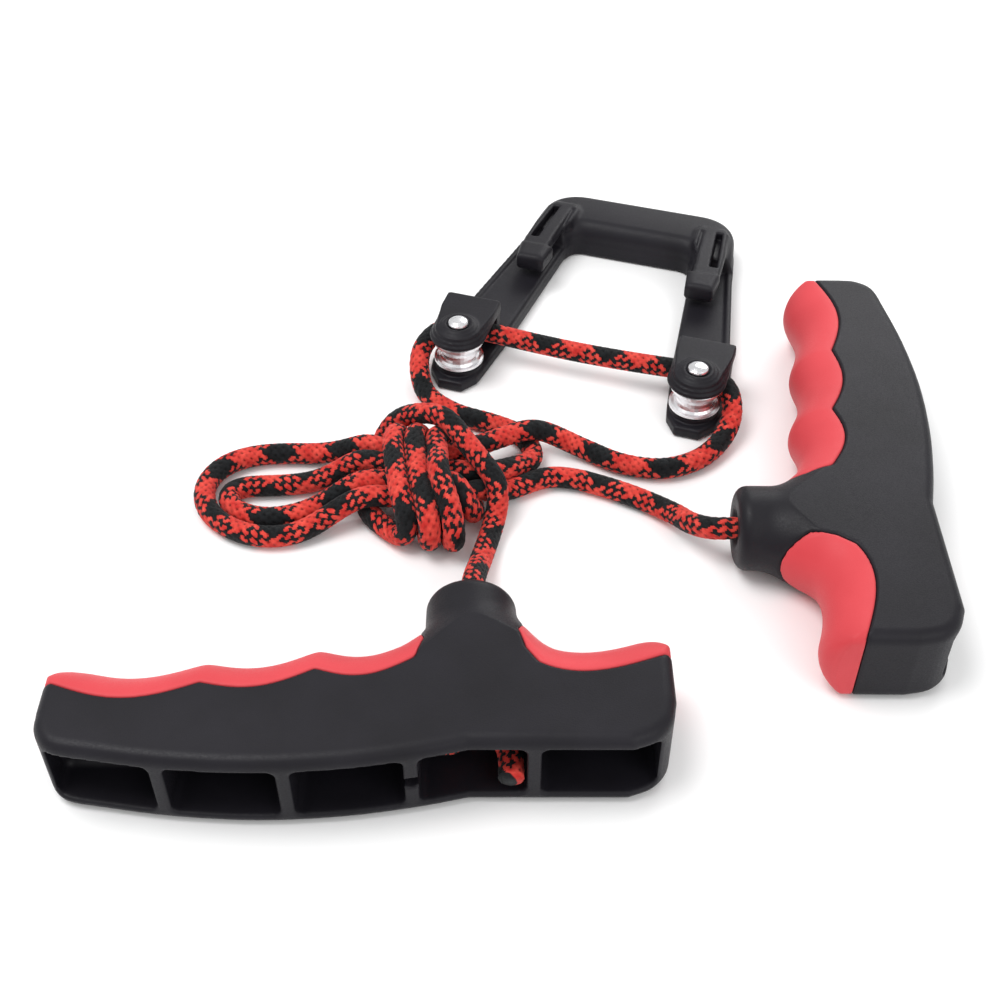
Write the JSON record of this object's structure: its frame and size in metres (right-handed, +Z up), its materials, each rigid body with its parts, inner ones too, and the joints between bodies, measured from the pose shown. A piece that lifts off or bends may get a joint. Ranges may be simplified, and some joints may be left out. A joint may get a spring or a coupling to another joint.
{
  "type": "rope pulling aid",
  "caption": "Rope pulling aid: a moulded yoke with string hooks and rope rollers, a braided rope that runs round the rollers and lies in a loose hank, and a finger-grooved T-handle on each end.",
  "frame": {"origin": "on the surface it lies on, under the centre of the box round the yoke and the handles", "axes": "+Z up, +Y along the yoke's plane of symmetry from its rollers to its bridge, +X to the right seen from the handles"},
  "size_m": [0.2059, 0.2646, 0.023],
  "materials": {
    "moulded_plastic": "fine-textured moulded charcoal plastic",
    "soft_grip": "matt coral-red overmoulded rubber",
    "turned_aluminium": "bright turned",
    "bright_steel": "bright plated",
    "braided_rope": "braided polyester in red and black"
  },
  "bodies": {
    "yoke": {"yoke_frame": "moulded_plastic", "roller_sleeve_left": "bright_steel", "roller_sleeve_right": "bright_steel", "axle_rivet_left": "bright_steel", "axle_rivet_right": "bright_steel", "rivet_washer_left": "bright_steel", "rivet_washer_right": "bright_steel", "rope_strand_a": "braided_rope", "rope_strand_b": "braided_rope", "rope_roller_run": "braided_rope", "rope_hank": "braided_rope"},
    "roller_left": {"roller_left": "turned_aluminium"},
    "roller_right": {"roller_right": "turned_aluminium"},
    "handle_a": {"handle_a_core": "moulded_plastic", "handle_a_three_finger_grip": "soft_grip", "handle_a_one_finger_grip": "soft_grip", "knot_washer_a": "bright_steel", "rope_knot_a": "braided_rope"},
    "handle_b": {"handle_b_core": "moulded_plastic", "handle_b_three_finger_grip": "soft_grip", "handle_b_one_finger_grip": "soft_grip", "knot_washer_b": "bright_steel", "rope_knot_b": "braided_rope"}
  },
  "joints": [
    {"name": "roller_left_spin", "type": "hinge", "parent": "yoke", "child": "roller_left", "pos_m": [-0.05297, 0.04098, 0.0095], "axis": [0, 0, 1], "continuous": true},
    {"name": "roller_right_spin", "type": "hinge", "parent": "yoke", "child": "roller_right", "pos_m": [0.01903, 0.04098, 0.0095], "axis": [0, 0, 1], "continuous": true},
    {"name": "handle_a_swivel", "type": "hinge", "parent": "yoke", "child": "handle_a", "pos_m": [-0.00187, -0.10432, 0.0115], "axis": [-0.299, 0.9542, 0], "range_deg": [-90, 90]},
    {"name": "handle_b_swivel", "type": "hinge", "parent": "yoke", "child": "handle_b", "pos_m": [0.08753, 0.00268, 0.0115], "axis": [-0.9573, -0.289, 0], "range_deg": [-90, 90]}
  ]
}
